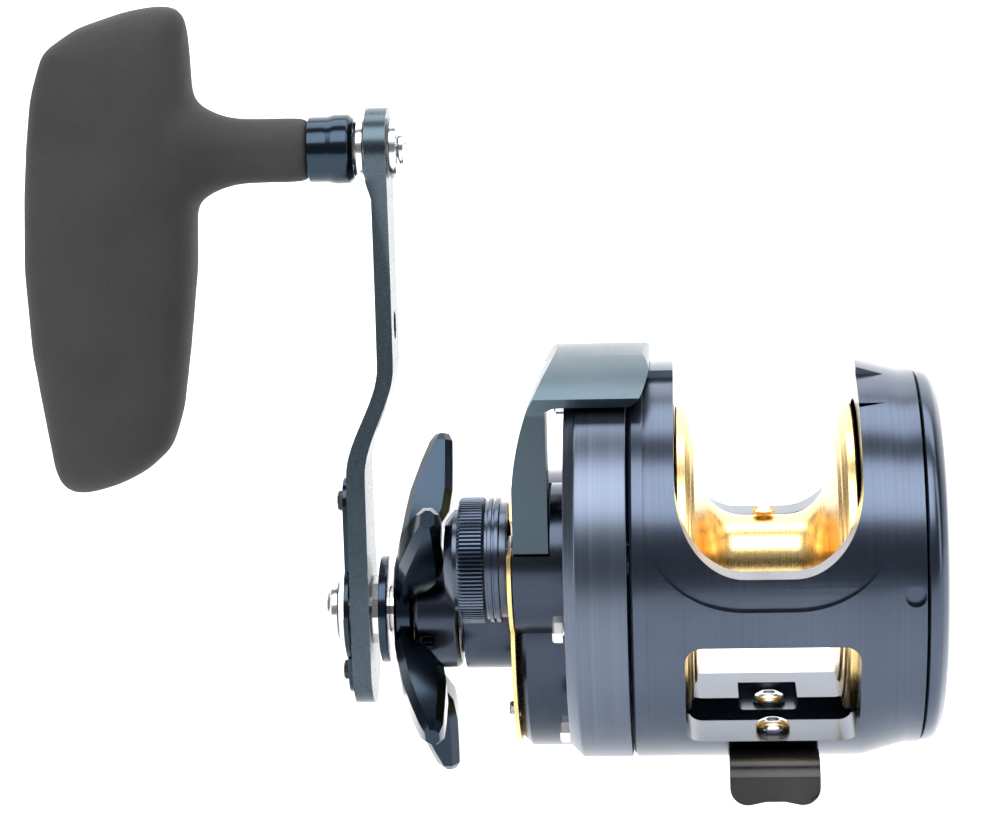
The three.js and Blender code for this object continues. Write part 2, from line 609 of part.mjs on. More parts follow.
function armBody() {
  const face = new THREE.Shape();
  face.absarc(0, 0, 8.6, Math.PI + 0.35, 2 * Math.PI - 0.35);
  face.lineTo(7.0, 26);
  face.lineTo(5.6, 60);
  face.absarc(0, THROW, 7.2, -0.6, Math.PI + 0.6);
  face.lineTo(-5.6, 60);
  face.lineTo(-7.0, 26);
  const low = new THREE.Shape();
  const end = 8.4;
  low.absarc(0, end - ARM_LOW, end, Math.PI, 2 * Math.PI);
  low.lineTo(end, 4);
  low.lineTo(-end, 4);
  const plate = alongX(face, -80, -60).add(alongX(low, -80, -60));
  const slots = [[33, 38], [50, 55]].map(([z0, z1]) => alongX(roundedBox(-1.8, 1.8, z0, z1, 1.7), -80, -60));
  const screwHoles = RETAINER_SCREWS.map((z) => rod(-76, -72.9, 1.2, SMALL).translate([0, 0, z]));
  const knobHole = rod(-80, -60, 3.2).translate([0, 0, THROW]);
  const cuts = oddment([rod(-80, -60, DRIVE_BORE), knobHole, ...slots, ...screwHoles]);
  return alongY(armEdge(), -10, 10).intersect(plate).subtract(cuts);
}

function retainerBody() {
  const plate = alongX(roundedBox(-4.6, 4.6, -15.4, 24.6, 4.5), -76.2, -75.3);
  const eye = rod(-76.2, -75.3, 9.4);
  const holes = RETAINER_SCREWS.map((z) => rod(-77, -75, 1.2, SMALL).translate([0, 0, z]));
  return plate.add(eye).subtract(oddment([alongX(regular(6, 7.7), -77, -75), ...holes]));
}

function buildHandle() {
  place(driveLine, "handle_arm", armBody(), NAVY);
  place(driveLine, "retainer_plate", retainerBody(), DARK_NAVY);
  RETAINER_SCREWS.forEach((z, i) => {
    place(driveLine, `retainer_screw_${i + 1}`, capScrew(1.9, 1.2, 1.0, 2.6), BLACK, [-76.2, 0, z]);
  });
  const nut = alongX(regular(6, 7.3), -77.4, -75.3).subtract(rod(-78, -75, DRIVE_BORE));
  place(driveLine, "handle_nut", nut, STEEL);
  const dome = turned([
    [-81.0, 0], [-80.7, 2.2], [-79.9, 4.2], [-79.0, 5.2], [-78.4, 5.7], [-77.7, 5.7], [-77.7, 0],
  ]);
  place(driveLine, "nut_cap", dome, STEEL);
  const spindle = turned([[-107, 0], [-107, 2.5], [-106.5, 3.0], [-65.9, 3.0], [-65.9, 0]], HIDDEN);
  place(knobLine, "knob_spindle", spindle, STEEL);
  place(knobLine, "knob_washer", ring(-71.4, -70.1, 3.2, 5.3), STEEL);
  place(knobLine, "arm_washer", ring(-65.6, -64.2, 2.0, 5.4), STEEL);
  const rivet = turned([
    [-65.6, 0], [-65.6, 1.7], [-63.9, 1.7], [-63.9, 3.3], [-63.3, 3.3], [-62.9, 2.4], [-62.9, 0],
  ], HIDDEN);
  place(knobLine, "spindle_screw", rivet, STEEL);
}

// ---------- grip ----------
// Height, left edge and right edge of the T bar, with half its thickness, from top to bottom.
const GRIP_STATIONS = [
  [26.2, -106.5, -103.5, 2.0], [25.3, -112.2, -101.8, 5.2], [22.6, -120.8, -101.0, 8.0],
  [18.5, -127.1, -100.8, 10.0], [10.7, -129.6, -100.7, 11.3], [2.4, -130.7, -100.6, 12.0],
  [-7.0, -131.6, -100.6, 12.2], [-20.0, -132.3, -101.0, 12.0], [-34.8, -131.8, -102.9, 11.0],
  [-46.6, -130.3, -104.7, 9.8], [-53.4, -129.4, -107.0, 8.6], [-57.3, -129.0, -111.2, 7.0],
  [-59.8, -128.2, -116.0, 5.2], [-61.4, -126.8, -121.0, 2.8], [-61.9, -125.4, -123.4, 1.2],
];
const GRIP_STEM_X = -80.3;
const GRIP_STEM_R = 5.85;

function gripBody() {
  const facets = 20;
  const rings = GRIP_STATIONS.map(([z, left, right, half]) => Array.from({ length: facets }, (_, i) => {
    const a = (i * 2 * Math.PI) / facets;
    const square = 0.82;
    const bulge = (v) => Math.sign(v) * Math.abs(v) ** square;
    return [(left + right) / 2 + ((right - left) / 2) * bulge(Math.cos(a)), half * bulge(Math.sin(a)), z];
  }));
  const stem = turned([[-112, 0], [-112, 4], [-103, 8.6], [-98, 7.0], [-94.5, 6.1], [-91.5, GRIP_STEM_R],
    [GRIP_STEM_X, GRIP_STEM_R], [GRIP_STEM_X, 0]]);
  const bore = oddment([rod(-92.4, -79, 4.8, HIDDEN), rod(-108.4, -90, 3.4, HIDDEN)]);
  return skinned(rings).add(stem).subtract(bore);
}

function buildGrip() {
  place(knobLine, "grip", gripBody(), FOAM);
  const ferrule = turned([
    [-80.0, 4.8], [-80.0, 5.8], [-76.8, 5.8], [-75.2, 6.2], [-72.9, 6.2], [-71.9, 5.2], [-71.9, 4.8],
  ]);
  place(knobLine, "grip_ferrule", ferrule, DARK_NAVY);
  place(knobLine, "knob_bearing_1", ring(-75.2, -72.4, 3.15, 4.6, HIDDEN), STEEL);
  place(knobLine, "knob_bearing_2", ring(-92.2, -89.4, 3.15, 4.6, HIDDEN), STEEL);
}

buildFrame();
buildSpoolLine();
buildDriveLine();
buildHandle();
buildGrip();

export default reel;
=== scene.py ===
"""Looks of the star-drag overhead reel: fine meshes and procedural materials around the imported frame."""
import bmesh
import bpy
import json
import math
from mathutils import Matrix, Vector


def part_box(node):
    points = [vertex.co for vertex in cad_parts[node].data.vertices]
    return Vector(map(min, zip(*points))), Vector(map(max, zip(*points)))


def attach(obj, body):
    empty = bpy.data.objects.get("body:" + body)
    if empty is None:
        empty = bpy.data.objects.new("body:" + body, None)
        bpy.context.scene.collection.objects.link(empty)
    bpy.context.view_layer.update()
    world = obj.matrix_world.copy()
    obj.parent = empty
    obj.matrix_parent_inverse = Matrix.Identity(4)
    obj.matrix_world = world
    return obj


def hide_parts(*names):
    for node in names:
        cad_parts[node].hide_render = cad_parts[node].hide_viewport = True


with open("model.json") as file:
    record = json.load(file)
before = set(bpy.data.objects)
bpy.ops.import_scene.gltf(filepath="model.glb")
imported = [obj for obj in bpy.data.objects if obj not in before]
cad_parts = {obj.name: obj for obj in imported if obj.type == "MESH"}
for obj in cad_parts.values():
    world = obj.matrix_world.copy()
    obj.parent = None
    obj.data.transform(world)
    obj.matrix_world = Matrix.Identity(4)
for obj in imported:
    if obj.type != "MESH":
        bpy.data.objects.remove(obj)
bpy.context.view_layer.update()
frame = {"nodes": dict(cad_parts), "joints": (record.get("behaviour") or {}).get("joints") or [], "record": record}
MM = 0.001
TAU = 2 * math.pi
SHARP = 32.0           # an edge turning more than this many degrees is shaded as a crease
ROUND_BODY = 176       # segments round the frame, spool and caps


# ---------- places taken from the frame, in millimetres ----------
def span(node):
    low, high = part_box(node)
    return [v / MM for v in low], [v / MM for v in high]


JOINTS = {j["name"]: j for j in frame["joints"]}
SPOOL_AXIS = tuple(v / MM for v in JOINTS["spool_spin"]["pos_m"][1:])
DRIVE_AXIS = tuple(v / MM for v in JOINTS["handle_spin"]["pos_m"][1:])
KNOB_AXIS = tuple(v / MM for v in JOINTS["grip_spin"]["pos_m"][1:])
BODY_R = 34.5          # outside of the frame and the gear side plate
PALM_R = 32.4          # outside of the frame where it meets the palm side cap
LOBE_R = 25.0          # round part of the gearbox
THROW = KNOB_AXIS[1] - DRIVE_AXIS[1]


# ---------- materials ----------
class Graph:
    """A material's node tree with short calls for the nodes used here."""

    def __init__(self, name):
        self.material = bpy.data.materials.new(name)
        self.material.use_nodes = True
        self.tree = self.material.node_tree
        self.shader = self.tree.nodes["Principled BSDF"]

    def add(self, kind, **settings):
        node = self.tree.nodes.new(kind)
        for key, value in settings.items():
            setattr(node, key, value)
        return node

    def link(self, a, b):
        self.tree.links.new(a, b)

    def place(self, scale=(1, 1, 1), centre=(0, 0, 0)):
        """The point in the object's own space, moved and scaled."""
        coords = self.add("ShaderNodeTexCoord")
        mapping = self.add("ShaderNodeMapping")
        mapping.inputs["Location"].default_value = [-c * MM * s for c, s in zip(centre, scale)]
        mapping.inputs["Scale"].default_value = scale
        self.link(coords.outputs["Object"], mapping.inputs["Vector"])
        return mapping.outputs["Vector"]

    def noise(self, vector, scale, detail=3.0, rough=0.5):
        node = self.add("ShaderNodeTexNoise")
        node.inputs["Scale"].default_value = scale
        node.inputs["Detail"].default_value = detail
        node.inputs["Roughness"].default_value = rough
        self.link(vector, node.inputs["Vector"])
        return node.outputs["Fac"]

    def ramp(self, value, stops):
        node = self.add("ShaderNodeValToRGB")
        node.color_ramp.elements[0].position = stops[0][0]
        node.color_ramp.elements[0].color = (*stops[0][1], 1)
        node.color_ramp.elements[1].position = stops[-1][0]
        node.color_ramp.elements[1].color = (*stops[-1][1], 1)
        for at, colour in stops[1:-1]:
            node.color_ramp.elements.new(at).color = (*colour, 1)
        self.link(value, node.inputs["Fac"])
        return node.outputs["Color"]

    def range(self, value, low, high):
        node = self.add("ShaderNodeMapRange")
        node.inputs["To Min"].default_value = low
        node.inputs["To Max"].default_value = high
        self.link(value, node.inputs["Value"])
        return node.outputs["Result"]

    def math(self, op, a, b):
        node = self.add("ShaderNodeMath", operation=op)
        for socket, value in zip(node.inputs, (a, b)):
            if isinstance(value, (int, float)):
                socket.default_value = value
            else:
                self.link(value, socket)
        return node.outputs[0]

    def bump(self, height, distance, strength=0.3):
        node = self.add("ShaderNodeBump")
        node.inputs["Strength"].default_value = strength
        node.inputs["Distance"].default_value = distance * MM
        self.link(height, node.inputs["Height"])
        self.link(node.outputs["Normal"], self.shader.inputs["Normal"])

    def lathe(self, axis):
        """Lines round an axis along X: a vector of place along the axis and distance from it."""
        point = self.place(centre=(0, *axis))
        split = self.add("ShaderNodeSeparateXYZ")
        self.link(point, split.inputs["Vector"])
        across = self.add("ShaderNodeCombineXYZ")
        self.link(split.outputs["Y"], across.inputs["Y"])
        self.link(split.outputs["Z"], across.inputs["Z"])
        length = self.add("ShaderNodeVectorMath", operation="LENGTH")
        self.link(across.outputs["Vector"], length.inputs[0])
        joined = self.add("ShaderNodeCombineXYZ")
        self.link(split.outputs["X"], joined.inputs["X"])
        self.link(length.outputs["Value"], joined.inputs["Y"])
        return joined.outputs["Vector"]


def anodised(name, dark, light, roughness, axis, lines=0.5, mottle=0.5, metallic=1.0, coat=0.0):
    """Anodised aluminium: turning lines round an axis, slow tint drift and fine pore speckle."""
    g = Graph(name)
    rings = g.noise(g.lathe(axis), 2600, 2.0, 0.7)
    drift = g.noise(g.place(), 45, 2.0)
    pores = g.noise(g.place(), 5200, 1.0)
    blend = g.math("ADD", g.math("MULTIPLY", rings, lines), g.math("MULTIPLY", drift, mottle))
    g.link(g.ramp(blend, [(0.25, dark), (0.75, light)]), g.shader.inputs["Base Color"])
    spread = g.math("ADD", g.math("MULTIPLY", rings, 0.7), g.math("MULTIPLY", pores, 0.3))
    g.link(g.range(spread, roughness * 0.8, roughness * 1.25), g.shader.inputs["Roughness"])
    g.bump(g.math("ADD", g.math("MULTIPLY", rings, lines), g.math("MULTIPLY", pores, 0.15)), 0.02, 0.25)
    g.shader.inputs["Metallic"].default_value = metallic
    g.shader.inputs["Coat Weight"].default_value = coat
    g.shader.inputs["Coat Roughness"].default_value = 0.08
    return g.material


def steel(name, dark, light, roughness, axis):
    """Polished or ground steel with faint turning lines and handling smudges."""
    g = Graph(name)
    rings = g.noise(g.lathe(axis), 3200, 2.0, 0.6)
    smudge = g.noise(g.place(), 160, 3.0)
    g.link(g.ramp(smudge, [(0.3, dark), (0.7, light)]), g.shader.inputs["Base Color"])
    mix = g.math("ADD", g.math("MULTIPLY", rings, 0.5), g.math("MULTIPLY", smudge, 0.5))
    g.link(g.range(mix, roughness * 0.7, roughness * 1.4), g.shader.inputs["Roughness"])
    g.bump(rings, 0.01, 0.15)
    g.shader.inputs["Metallic"].default_value = 1.0
    return g.material


def foam():
    """Dense moulded foam: charcoal, with fine pale specks and a soft pebbled skin."""
    g = Graph("grip_foam_skin")
    point = g.place()
    pebbles = g.noise(point, 2600, 2.0, 0.6)
    specks = g.add("ShaderNodeTexVoronoi")
    specks.inputs["Scale"].default_value = 2100
    g.link(point, specks.inputs["Vector"])
    drift = g.noise(point, 60, 3.0)
    base = g.ramp(drift, [(0.3, (0.017, 0.017, 0.018)), (0.7, (0.025, 0.025, 0.026))])
    fleck = g.ramp(specks.outputs["Distance"], [(0.03, (1, 1, 1)), (0.16, (0, 0, 0))])
    mix = g.add("ShaderNodeMix", data_type="RGBA")
    g.link(g.math("MULTIPLY", fleck, g.range(pebbles, 0.0, 0.7)), mix.inputs["Factor"])
    g.link(base, mix.inputs["A"])
    mix.inputs["B"].default_value = (0.10, 0.10, 0.105, 1)
    g.link(mix.outputs["Result"], g.shader.inputs["Base Color"])
    g.link(g.range(pebbles, 0.62, 0.85), g.shader.inputs["Roughness"])
    g.bump(pebbles, 0.12, 0.35)
    g.shader.inputs["Specular IOR Level"].default_value = 0.35
    return g.material


def black_paint():
    """Satin black coating over a casting, with slight orange peel."""
    g = Graph("black_coat")
    peel = g.noise(g.place(), 900, 2.0)
    drift = g.noise(g.place(), 70, 2.0)
    colour = g.ramp(drift, [(0.3, (0.010, 0.010, 0.011)), (0.7, (0.022, 0.021, 0.020))])
    g.link(colour, g.shader.inputs["Base Color"])
    g.link(g.range(peel, 0.16, 0.3), g.shader.inputs["Roughness"])
    g.bump(peel, 0.04, 0.2)
    g.shader.inputs["Metallic"].default_value = 0.55
    return g.material


def carbon():
    """Woven carbon washer: a tight crossed weave under resin."""
    g = Graph("carbon_weave")
    weave = g.add("ShaderNodeTexChecker")
    weave.inputs["Scale"].default_value = 1500
    g.link(g.place(), weave.inputs["Vector"])
    colour = g.ramp(weave.outputs["Fac"], [(0, (0.012, 0.012, 0.013)), (1, (0.035, 0.035, 0.037))])
    g.link(colour, g.shader.inputs["Base Color"])
    g.link(g.range(g.noise(g.place(), 700), 0.35, 0.6), g.shader.inputs["Roughness"])
    g.bump(weave.outputs["Fac"], 0.03, 0.2)
    return g.material


# Each look: darkest and lightest tint, roughness, turning axis, and how much lines and mottling show.
MATERIALS = {
    "navy": anodised("navy_turned", (0.050, 0.064, 0.092), (0.078, 0.096, 0.132), 0.24, SPOOL_AXIS),
    # The drive-axis navy is the same navy tinted darker all over: painted shade on the gearbox cover, drive collar
    # and star barrel.
    "navy_drive_shaded": anodised(
        "navy_turned_drive_painted_shade", (0.030, 0.038, 0.056), (0.050, 0.061, 0.086), 0.24, DRIVE_AXIS),
    "brushed": anodised(
        "navy_brushed", (0.082, 0.100, 0.138), (0.118, 0.142, 0.188), 0.3, SPOOL_AXIS, 0.7, 0.3),
    "gloss": anodised(
        "navy_polished", (0.022, 0.033, 0.048), (0.036, 0.052, 0.072), 0.17, DRIVE_AXIS, 0.15, 0.6),
    "arm": anodised(
        "navy_arm", (0.048, 0.068, 0.082), (0.072, 0.095, 0.112), 0.27, DRIVE_AXIS, 0.1, 0.7),
    "teal": anodised(
        "teal_blasted", (0.060, 0.086, 0.104), (0.086, 0.116, 0.138), 0.3, SPOOL_AXIS, 0.05, 0.7),
    "gold": anodised(
        "gold_bright", (0.78, 0.53, 0.20), (0.92, 0.68, 0.33), 0.27, SPOOL_AXIS, 0.7, 0.3),
    "brass": anodised("gear_brass_cut", (0.6, 0.42, 0.17), (0.78, 0.58, 0.28), 0.3, DRIVE_AXIS),
    "steel": steel("stainless", (0.62, 0.63, 0.64), (0.78, 0.78, 0.79), 0.18, DRIVE_AXIS),
    "black": black_paint(),
    "foam": foam(),
    "carbon": carbon(),
}
LOOK_OF_SLOT = {
    "navy_anodised": "navy", "brushed_navy": "brushed", "gloss_navy": "gloss", "teal_satin": "teal",
    "gold_anodised": "gold", "gear_brass": "brass", "black_painted": "black", "grip_foam": "foam",
    "carbon_washer": "carbon", "stainless_steel": "steel",
}
SLOT_OF_NODE = {s["node"]: s["material_slot"] for s in frame["record"]["subparts"]}


def body_of_node(node):
    return next(b for b, members in frame["record"]["behaviour"]["bodies"].items() if node in members)


# ---------- mesh helpers (millimetres in, metres out) ----------
def to_object(name, bm, look, node, sharp=SHARP, also=()):
    """A finished bmesh becomes a piece that stands for a CAD node and rides on its body."""
    bmesh.ops.remove_doubles(bm, verts=bm.verts, dist=1e-4)
    bmesh.ops.recalc_face_normals(bm, faces=bm.faces)
    mesh = bpy.data.meshes.new(name)
    bm.to_mesh(mesh)
    bm.free()
    mesh.transform(Matrix.Scale(MM, 4))
    obj = bpy.data.objects.new(name, mesh)
    bpy.context.scene.collection.objects.link(obj)
    mesh.materials.append(MATERIALS[look])
    mesh.shade_smooth()
    mesh.set_sharp_from_angle(angle=math.radians(sharp))
    if node:
        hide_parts(node, *also)
        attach(obj, body_of_node(node))
    return obj


def lathe_bm(profile, axis, segments=128):
    """A profile of (x, radius) points turned about an axis along X."""
    bm = bmesh.new()
    closed = profile[0][1] > 0
    rows = []
    for x, r in profile:
        if r <= 0:
            rows.append([bm.verts.new((x, *axis))])
            continue
        rows.append([bm.verts.new((x, axis[0] + r * math.cos(i * TAU / segments),
                                   axis[1] + r * math.sin(i * TAU / segments))) for i in range(segments)])
    pairs = list(zip(rows, rows[1:])) + ([(rows[-1], rows[0])] if closed else [])
    for a, b in pairs:
        for i in range(segments):
            j = (i + 1) % segments
            corners = [a[i % len(a)], a[j % len(a)], b[j % len(b)], b[i % len(b)]]
            unique = list(dict.fromkeys(corners))
            if len(unique) > 2:
                bm.faces.new(unique)
    return bm


def soft_profile(profile, radius=0.35, steps=3):
    """Rounds each corner of a profile with a small curve."""
    out = []
    count = len(profile)
    closed = profile[0][1] > 0
    for i, point in enumerate(profile):
        if not closed and i in (0, count - 1):
            out.append(point)
            continue
        here = Vector(point)
        before = Vector(profile[i - 1]) - here
        after = Vector(profile[(i + 1) % count]) - here
        cut = min(radius, before.length * 0.45, after.length * 0.45)
        a = here + before.normalized() * cut
        b = here + after.normalized() * cut
        for k in range(steps + 1):
            t = k / steps
            p = a.lerp(here, t).lerp(here.lerp(b, t), t)
            out.append((p.x, p.y))
    return out


def lathe(name, profile, axis, look, node, segments=128, radius=0.3, sharp=SHARP, also=()):
    """A turned piece with softened corners."""
    return to_object(name, lathe_bm(soft_profile(profile, radius), axis, segments), look, node, sharp, also)


def rod_bm(x0, x1, r, axis, segments):
    """A plain cylinder along X."""
    return lathe_bm([(x0, 0), (x0, r), (x1, r), (x1, 0)], axis, segments)


def prism_bm(outline, depth, mapping):
    """An outline pushed from depth[0] to depth[1]; mapping turns (a, b, depth) into a point."""
    bm = bmesh.new()
    outline = [p for i, p in enumerate(outline) if math.dist(p, outline[i - 1]) > 1e-3]
    low = [bm.verts.new(mapping(a, b, depth[0])) for a, b in outline]
    high = [bm.verts.new(mapping(a, b, depth[1])) for a, b in outline]
    bm.faces.new(low)
    bm.faces.new(high)
    for i in range(len(outline)):
        j = (i + 1) % len(outline)
        bm.faces.new((low[i], low[j], high[j], high[i]))
    bmesh.ops.recalc_face_normals(bm, faces=bm.faces)
    return bm


def along_x(outline, x0, x1, axis):
    return prism_bm(outline, (x0, x1), lambda a, b, d: (d, axis[0] + a, axis[1] + b))


def along_y(outline, y0, y1):
    return prism_bm(outline, (y0, y1), lambda a, b, d: (a, d, b))


def arc(cx, cy, rx, ry, start, end, steps=12):
    return [(cx + rx * math.cos(math.radians(start + (end - start) * k / steps)),
             cy + ry * math.sin(math.radians(start + (end - start) * k / steps))) for k in range(steps + 1)]


def hexagon(r, centre=(0, 0)):
    """Outline with corners at radius r, the first along the outline's first axis."""
    x, y = centre
    return [(x + r * math.cos(k * TAU / 6), y + r * math.sin(k * TAU / 6)) for k in range(6)]


def rounded_box(a0, a1, b0, b1, r, steps=8):
    return (arc(a1 - r, b1 - r, r, r, 0, 90, steps) + arc(a0 + r, b1 - r, r, r, 90, 180, steps)
            + arc(a0 + r, b0 + r, r, r, 180, 270, steps) + arc(a1 - r, b0 + r, r, r, 270, 360, steps))


def temp(bm):
    """A loose object for a boolean, in millimetres."""
    bmesh.ops.recalc_face_normals(bm, faces=bm.faces)
    mesh = bpy.data.meshes.new("temp")
    bm.to_mesh(mesh)
    bm.free()
    obj = bpy.data.objects.new("temp", mesh)
    bpy.context.scene.collection.objects.link(obj)
    return obj


def combined(first, *steps):
    """Applies booleans in turn; each step is (operation, bmesh). Returns a bmesh."""
    base = temp(first)
    tools = []
    for operation, bm in steps:
        tool = temp(bm)
        tools.append(tool)
        modifier = base.modifiers.new("cut", "BOOLEAN")
        modifier.operation = operation
        modifier.solver = "EXACT"
        modifier.object = tool
    graph = bpy.context.evaluated_depsgraph_get()
    mesh = bpy.data.meshes.new_from_object(base.evaluated_get(graph))
    out = bmesh.new()
    out.from_mesh(mesh)
    for obj in [base, *tools]:
        bpy.data.objects.remove(obj)
    return out


def bevelled(obj, width, segments=3, angle=35.0):
    """A small rounded edge on every crease, with shading that stays flat on the faces."""
    modifier = obj.modifiers.new("edge", "BEVEL")
    modifier.width = width * MM
    modifier.segments = segments
    modifier.limit_method = "ANGLE"
    modifier.angle_limit = math.radians(angle)
    modifier.harden_normals = True
    modifier.miter_outer = "MITER_ARC"
    return obj


# ---------- body ----------
RIM_BEVEL = 0.45
WELL = (-16.1, 15.0)
WELL_FLOOR = (3.9, 1.5)
WINDOW = (-14.8, 14.2)


def well_outline(grow, floor):
    """Opening over the spool, in X and Z: straight sides, level floor, elliptical corners."""
    left, right = WELL[0] - grow, WELL[1] + grow
    rx, rz = 11.5 + grow, 15
    base = SPOOL_AXIS[1] + floor - grow
    corners = arc(left + rx, base + rz, rx, rz, 180, 270, 20)
    corners += arc(right - rx, base + rz, rx, rz, 270, 360, 20)
    return [(right, base + 60), (left, base + 60)] + corners


def frame_piece():
    low, high = span("frame")
    left, right = low[0], high[0]
    shell = lathe_bm([
        (left, 6.8), (left, BODY_R - 0.6), (left + 0.6, BODY_R), (15, BODY_R), (22.5, PALM_R),
        (right, PALM_R), (right, 27.3), (left + 2.7, 27.3), (left + 2.7, 6.8),
    ], SPOOL_AXIS, ROUND_BODY)
    skin = lathe_bm([
        (left - 1, BODY_R - 1.3), (left - 1, BODY_R + 2), (23, BODY_R + 2), (23, BODY_R - 1.3),
    ], SPOOL_AXIS, ROUND_BODY)
    rim = combined(skin, ("INTERSECT", along_y(well_outline(5.2, WELL_FLOOR[0]), -40, -5)))
    z = SPOOL_AXIS[1]
    window = rounded_box(*WINDOW, z - 27, z - 7.5, 2.8)
    dimple = lathe_bm([(-1.5, 0), (-1.5, 1.75), (1.5, 1.75), (1.5, 0)], (0, 0), 40)
    bmesh.ops.rotate(dimple, verts=dimple.verts, matrix=Matrix.Rotation(math.pi / 2, 3, "Z"))
    bmesh.ops.translate(dimple, verts=dimple.verts, vec=(23.2, -PALM_R + 0.2, z + 0.5))
    recess = along_y(rounded_box(*WINDOW, z - 31, z - 26, 0.8), -9, 5)
    notch = along_y(rounded_box(-5.5, 4.9, z - 29.2, z - 26, 0.8), 4, 15)
    whole = combined(
        shell,
        ("DIFFERENCE", rim),
        ("DIFFERENCE", along_y(well_outline(0, WELL_FLOOR[0]), -40, 0)),
        ("DIFFERENCE", along_y(well_outline(0, WELL_FLOOR[1]), -1, 40)),
        ("DIFFERENCE", along_y(window, -40, 40)),
        ("DIFFERENCE", recess),
        ("DIFFERENCE", notch),
        ("DIFFERENCE", dimple),
    )
    return bevelled(to_object("frame_fine", whole, "navy", "frame"), RIM_BEVEL)


def body_pieces():
    frame_piece()
    left, right = -34.6, span("gear_side_plate")[1][0]
    lathe("gear_side_plate_fine", [
        (left, 3.9), (left, BODY_R - 2.0), (left + 2.0, BODY_R), (right - 0.1, BODY_R),
        (right, BODY_R - 0.4), (right, 30.2), (-33.0, 30.2), (-33.0, 3.9),
    ], SPOOL_AXIS, "brushed", "gear_side_plate", ROUND_BODY)
    rim, crown = 25.3, span("palm_side_cap")[1][0]
    lathe("palm_side_cap_fine", [
        (rim, PALM_R - 0.1), (27.4, PALM_R - 0.6), (28.8, 29.6), (29.8, 22), (30.9, 12), (crown, 0),
        (20.2, 0), (20.2, 8.4), (28.4, 8.4), (28.2, 21), (27.2, 25), (rim, 26.5),
    ], SPOOL_AXIS, "navy", "palm_side_cap", ROUND_BODY, 0.8)


# ---------- spool ----------
def spool_pieces():
    low, high = span("spool")
    left, right = low[0], high[0]
    arbor, rim = 7.3, 26.6
    fillet = 7
    throat = [(left + 4.4 + fillet * (1 - math.cos(a)), arbor + fillet * (1 - math.sin(a)))
              for a in [k * math.pi / 2 / 14 for k in range(15)]]
    side = [(left, 3.1), (left, 12), (left + 0.7, 14), (left + 0.7, 22), (left, 24), (left, rim - 0.3),
            (left + 0.3, rim), (left + 1.6, rim), (left + 2.0, rim - 0.3), (left + 2.1, 24.9),
            (left + 2.5, 24.6), (left + 2.7, 22.0), (left + 3.1, 21.7)]
    half = side + throat
    mirrored = [(left + right - x, r) for x, r in reversed(half)]
    to_object("spool_fine", lathe_bm(half + mirrored, SPOOL_AXIS, ROUND_BODY), "gold", "spool", 24)


# ---------- clutch lever ----------
LEVER = (-44.0, -37.9)
LEVER_FOOT = 3.8
PAD_RIGHT = -20.1
PAD_R = (35.1, 37.8)
PAD_LOW = 30.4


def band(r_in, r_out, start, end, steps=28):
    """Part of a circular band round the spool axis; angles from +Z towards +Y, in degrees."""
    outer = arc(0, 0, r_out, r_out, 90 - start, 90 - end, steps)
    return outer + arc(0, 0, r_in, r_in, 90 - end, 90 - start, steps)


def curve(start, pull, end, steps=14):
    """A quadratic curve between two points, pulled towards a third."""
    out = []
    for k in range(steps + 1):
        t = k / steps
        p = Vector(start).lerp(Vector(pull), t).lerp(Vector(pull).lerp(Vector(end), t), t)
        out.append((p.x, p.y))
    return out


def lever_piece():
    left, right = LEVER
    top = PAD_R[1]
    arm_outline = [(-12, LEVER_FOOT), (-4.2, LEVER_FOOT), (-4.2, top - 2), (-12, top - 2)]
    arm = along_x(arm_outline, left, right, SPOOL_AXIS)
    pad = along_x(band(*PAD_R, -32, 18), left, PAD_RIGHT, SPOOL_AXIS)
    web = along_x(band(30.5, top - 1, -24, 4), left, right, SPOOL_AXIS)
    outline = [(left, LEVER_FOOT), (right, LEVER_FOOT)]
    outline += curve((right, PAD_LOW - 2.8), (right, PAD_LOW), (right + 2.8, PAD_LOW), 8)
    outline += curve((PAD_RIGHT - 3.4, PAD_LOW), (PAD_RIGHT - 1.6, PAD_LOW + 0.4),
                     (PAD_RIGHT, top - 2.2), 8)
    outline += curve((PAD_RIGHT, top - 2.2), (PAD_RIGHT - 0.4, top), (PAD_RIGHT - 3.4, top), 8)[1:]
    outline += curve((left + 8.1, top), (left + 1.35, 29.6), (left, 15), 18)
    front = along_y([(x, SPOOL_AXIS[1] + h) for x, h in outline], -30, 30)
    root = rod_bm(left - 1, right + 1, 7.8, SPOOL_AXIS, 64)
    seat = rod_bm(left - 1, -42.0, 11.15, SPOOL_AXIS, 64)
    body = combined(pad, ("UNION", web), ("UNION", arm), ("INTERSECT", front),
                    ("DIFFERENCE", root), ("DIFFERENCE", seat))
    bevelled(to_object("clutch_lever_fine", body, "teal", "clutch_lever"), 1.0, 4)


# ---------- gearbox ----------
def wedge(x0, x1):
    """The space the lever sweeps, free of fixed pieces."""
    low, top, lean = LEVER_FOOT - 0.3, 38.9, 1.883
    outline = [(-40, low), (16.3 - (top - low) / lean, low), (16.3, top), (-40, top)]
    return along_x(outline, x0, x1, SPOOL_AXIS)


